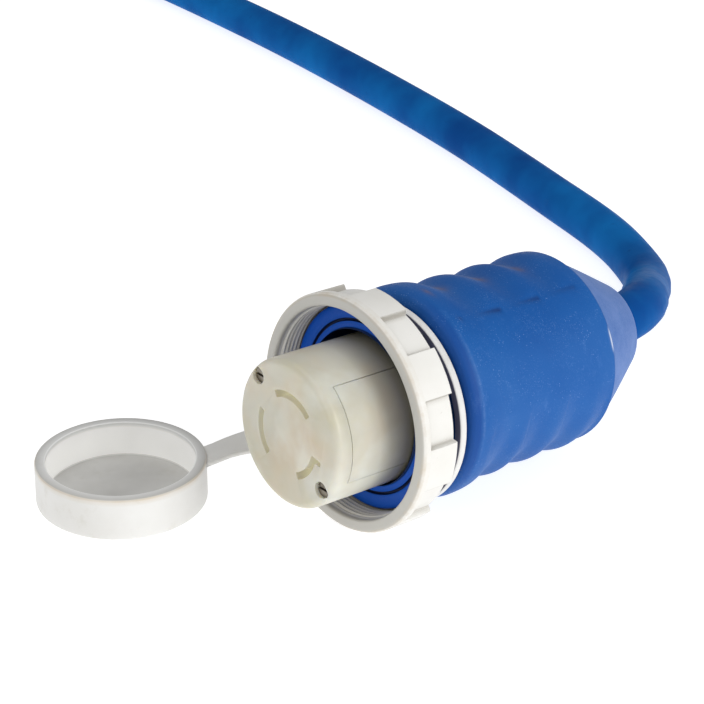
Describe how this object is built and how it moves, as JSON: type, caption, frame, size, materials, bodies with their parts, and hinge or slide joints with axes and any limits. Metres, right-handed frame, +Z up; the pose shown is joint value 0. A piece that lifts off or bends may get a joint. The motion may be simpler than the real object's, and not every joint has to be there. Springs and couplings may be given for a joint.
{
  "type": "shore power cable connector",
  "caption": "Locking female shore power connector: slotted round insert, threaded locking ring, ribbed grip boot, strapped weather cap and a heavy coiled cable.",
  "frame": {"origin": "on the resting surface, under the middle of the box round the connector and its cap, without the cable", "axes": "+X along the connector from its mating face towards the cable, nearly level; +Y towards the side where the cap lies; +Z up"},
  "size_m": [0.3808, 0.887, 0.0846],
  "materials": {
    "boot_blue": "matte, finely textured",
    "ring_white": "satin",
    "insert_cream": "satin, slightly translucent",
    "cap_white": "satin",
    "jacket_blue": "satin",
    "brass": "plain",
    "steel": "bright",
    "tinned": "bright",
    "core_black": "satin",
    "core_white": "satin",
    "core_green": "satin",
    "tie_black": "woven"
  },
  "bodies": {
    "connector": {"grip_boot": "boot_blue", "contact_housing": "insert_cream", "terminal_housing": "insert_cream", "line_contact": "brass", "neutral_contact": "brass", "ground_contact": "brass", "terminal_screws": "steel", "terminal_clamp_plates": "steel", "assembly_screws": "steel", "cord_clamp_base": "insert_cream", "cord_clamp_bar": "insert_cream", "cord_clamp_screws": "steel", "line_wire": "core_black", "neutral_wire": "core_white", "ground_wire": "core_green", "cable_lead": "jacket_blue", "cable_coil": "jacket_blue", "coil_ties": "tie_black", "line_tail": "core_black", "neutral_tail": "core_white", "ground_tail": "core_green", "wire_ferrules": "tinned"},
    "ring": {"locking_ring": "ring_white"},
    "strap": {"strap_loop": "cap_white", "cap_strap": "cap_white"},
    "cap": {"weather_cap": "cap_white"}
  },
  "joints": [
    {"name": "ring_spin", "type": "hinge", "parent": "connector", "child": "ring", "pos_m": [-0.02469, -0.0253, 0.04273], "axis": [0.9986, 0, -0.0523], "continuous": true},
    {"name": "loop_spin", "type": "hinge", "parent": "connector", "child": "strap", "pos_m": [-0.00082, -0.0253, 0.04148], "axis": [0.9986, 0, -0.0523], "continuous": true},
    {"name": "cap_swing", "type": "hinge", "parent": "strap", "child": "cap", "pos_m": [-0.03269, 0.0227, 0.0136], "axis": [0, 1, 0], "range_deg": [0, 95], "deforming": ["cap_strap"]}
  ]
}
